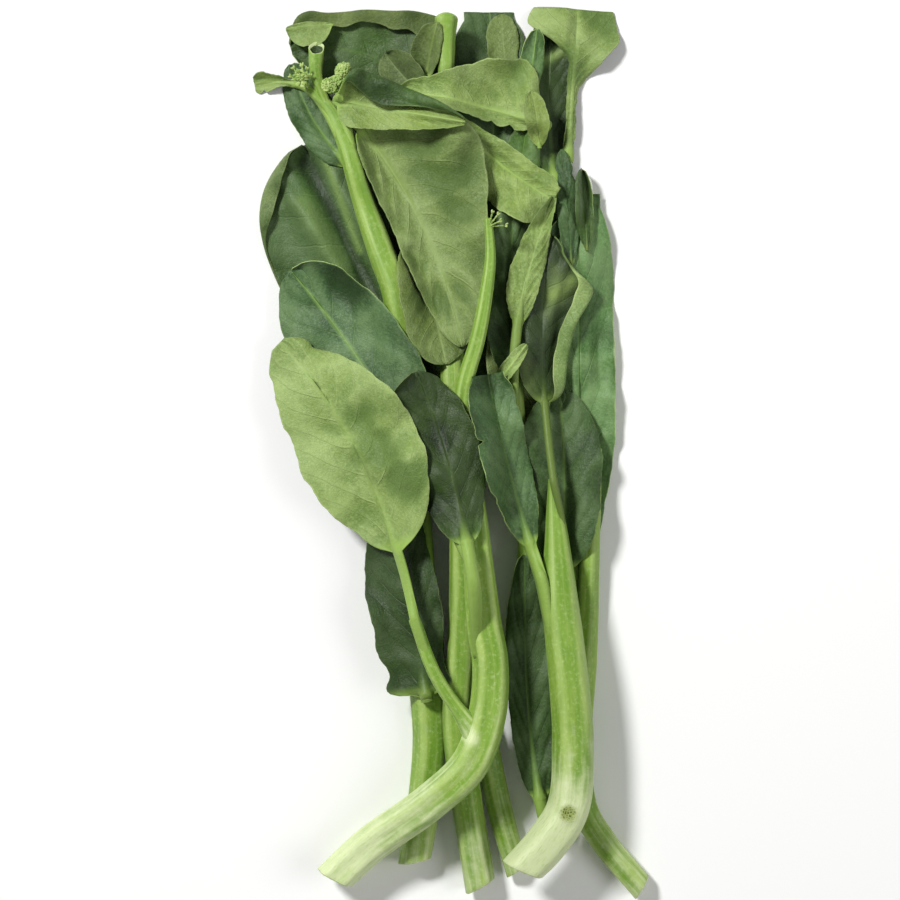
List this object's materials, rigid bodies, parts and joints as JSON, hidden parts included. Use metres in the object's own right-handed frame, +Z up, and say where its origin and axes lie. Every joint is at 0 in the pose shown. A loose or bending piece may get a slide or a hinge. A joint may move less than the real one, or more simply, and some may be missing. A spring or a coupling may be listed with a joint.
{
  "type": "chinese broccoli bunch",
  "caption": "Bunch of fresh Chinese broccoli lying flat: thick cut stems, broad waved leaves with pale undersides, and small bud heads; a leafy green vegetable.",
  "frame": {"origin": "middle of the bounding box at the surface that the bunch lies on", "axes": "+Y from the cut stem ends to the leaf tips, +X to the right as seen from above, +Z up"},
  "size_m": [0.1592, 0.3597, 0.048],
  "materials": {
    "stem": "satin",
    "leaf_upper": "matte",
    "leaf_under": "matte",
    "bud": "matte"
  },
  "bodies": {
    "root": {"leaf_under_left": "leaf_under", "leaf_under_middle": "leaf_upper", "leaf_under_right": "leaf_under", "leaf_under_top": "leaf_upper", "leaf_edge_right": "leaf_upper", "leaf_corner_dark": "leaf_upper", "leaf_left_dark": "leaf_upper", "leaf_corner_blue": "leaf_upper", "leaf_top_right_dark": "leaf_upper", "leaf_top_right_pale": "leaf_under", "leaf_right_inner": "leaf_upper", "leaf_right_blue": "leaf_upper", "leaf_right_notched": "leaf_upper", "leaf_right_curled": "leaf_upper", "leaf_right_short": "leaf_upper", "stem_diagonal": "stem", "stem_slim": "stem", "stem_wrapped": "stem", "stem_right": "stem", "stem_knob": "stem", "leaf_right_pale": "leaf_under", "leaf_top_round": "leaf_under", "leaf_top_grey": "leaf_upper", "leaf_top_inner": "leaf_under", "leaf_top_middle": "leaf_under", "leaf_tip_flap": "leaf_under", "leaf_bud_bright": "leaf_under", "buds_diagonal_low": "bud", "buds_diagonal_tip": "bud", "buds_diagonal_tall": "bud", "leaf_front_back": "leaf_under", "leaf_front_pale": "leaf_under", "leaf_top_pale": "leaf_under", "leaf_right_pale_tip": "leaf_under", "leaf_top_folded": "leaf_under", "leaf_low_right": "leaf_upper", "leaf_low_wrap": "leaf_upper", "stem_thick": "stem", "leaf_right_middle": "leaf_upper", "leaf_right_narrow": "leaf_under", "leaf_low_left": "leaf_upper", "stem_front": "stem", "buds_front": "bud", "leaf_centre_curl": "leaf_under", "leaf_left_bloom": "leaf_upper", "leaf_centre_dark": "leaf_upper", "leaf_centre_torn": "leaf_upper", "leaf_left_pale": "leaf_under"}
  },
  "joints": []
}
